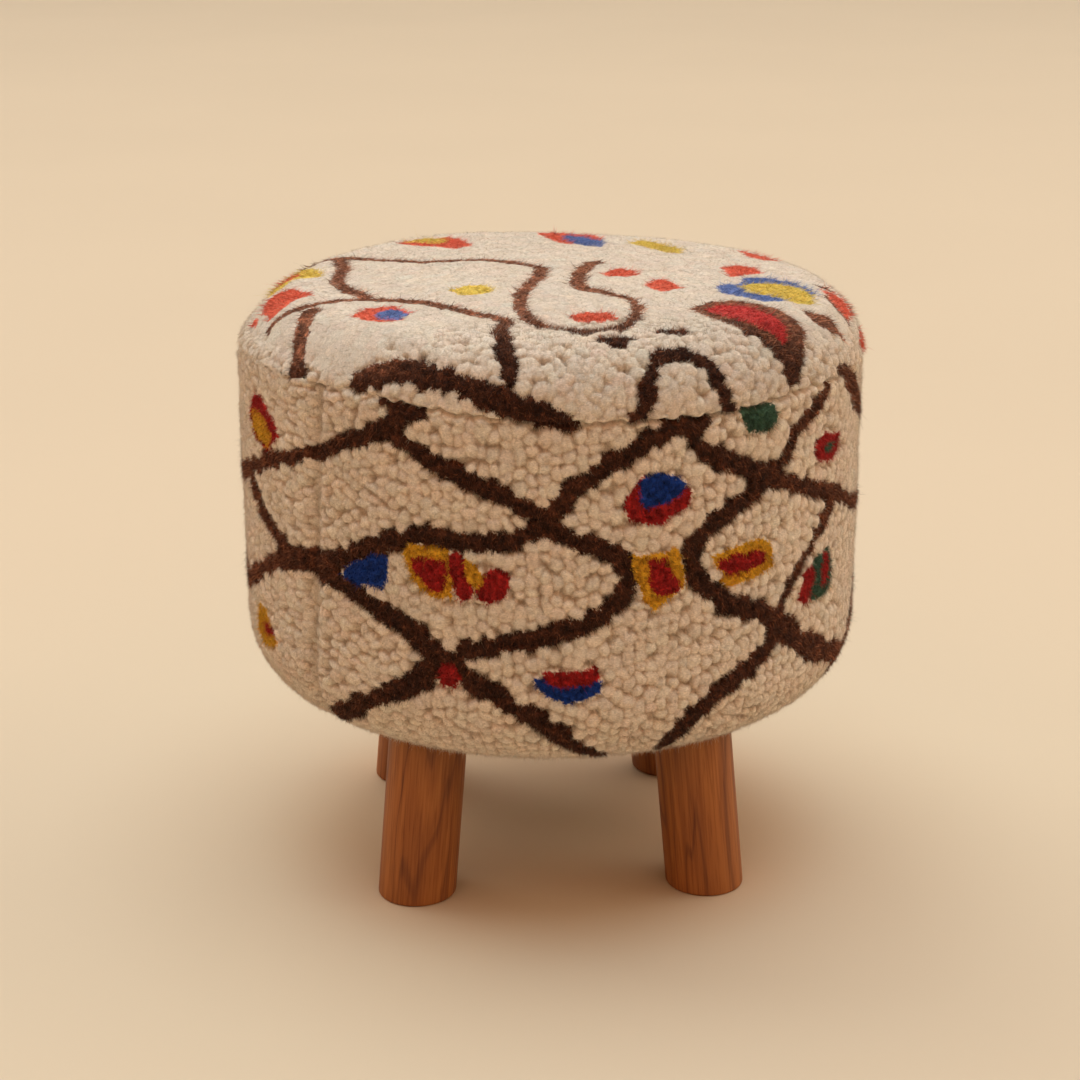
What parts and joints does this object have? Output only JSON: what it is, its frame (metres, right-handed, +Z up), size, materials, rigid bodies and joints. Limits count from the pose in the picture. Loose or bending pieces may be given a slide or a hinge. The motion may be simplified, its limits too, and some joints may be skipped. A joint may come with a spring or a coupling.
{
  "type": "upholstered stool",
  "caption": "Round drum stool with a knotted wool pile cover over foam on a framed wooden drum, standing on splayed round wooden legs.",
  "frame": {"origin": "on the floor under the middle of the seat, which is the middle of the box's bottom face", "axes": "+Z up along the drum's axis; the front faces -Y and +X is to the viewer's right; the legs stand on the diagonals between the axes"},
  "size_m": [0.4, 0.4, 0.3895],
  "materials": {
    "wool_pile": "thick knotted wool pile in cream with dark brown and coloured motifs",
    "seam_thread": "waxed cotton thread",
    "rug_backing": "woven rug back",
    "dust_cloth": "black spunbonded cloth",
    "foam": "open-cell upholstery foam",
    "leg_wood": "oiled reddish brown hardwood",
    "board_wood": "plywood and softwood, raw",
    "hardboard": "brown hardboard sheet",
    "zinc_steel": "zinc-plated steel"
  },
  "bodies": {
    "root": {"base_board": "board_wood", "seat_board": "board_wood", "drum_skin": "hardboard", "side_foam": "foam", "seat_foam": "foam", "cover_top_panel": "wool_pile", "cover_side_front": "wool_pile", "cover_side_rear": "wool_pile", "seat_seam_cord": "seam_thread", "side_seam_cord_left": "seam_thread", "side_seam_cord_right": "seam_thread", "cover_hem": "rug_backing", "dust_cover": "dust_cloth", "post_right": "board_wood", "post_rear": "board_wood", "post_left": "board_wood", "post_front": "board_wood", "post_screw_lower_right": "zinc_steel", "post_screw_lower_rear": "zinc_steel", "post_screw_lower_left": "zinc_steel", "post_screw_lower_front": "zinc_steel", "post_screw_upper_right": "zinc_steel", "post_screw_upper_rear": "zinc_steel", "post_screw_upper_left": "zinc_steel", "post_screw_upper_front": "zinc_steel", "leg_rear_right": "leg_wood", "leg_rear_left": "leg_wood", "leg_front_left": "leg_wood", "leg_front_right": "leg_wood", "leg_plate_rear_right": "zinc_steel", "leg_plate_rear_left": "zinc_steel", "leg_plate_front_left": "zinc_steel", "leg_plate_front_right": "zinc_steel", "hanger_bolt_rear_right": "zinc_steel", "hanger_bolt_rear_left": "zinc_steel", "hanger_bolt_front_left": "zinc_steel", "hanger_bolt_front_right": "zinc_steel", "plate_screw_rear_right_1": "zinc_steel", "plate_screw_rear_right_2": "zinc_steel", "plate_screw_rear_right_3": "zinc_steel", "plate_screw_rear_right_4": "zinc_steel", "plate_screw_rear_left_1": "zinc_steel", "plate_screw_rear_left_2": "zinc_steel", "plate_screw_rear_left_3": "zinc_steel", "plate_screw_rear_left_4": "zinc_steel", "plate_screw_front_left_1": "zinc_steel", "plate_screw_front_left_2": "zinc_steel", "plate_screw_front_left_3": "zinc_steel", "plate_screw_front_left_4": "zinc_steel", "plate_screw_front_right_1": "zinc_steel", "plate_screw_front_right_2": "zinc_steel", "plate_screw_front_right_3": "zinc_steel", "plate_screw_front_right_4": "zinc_steel"}
  },
  "joints": []
}
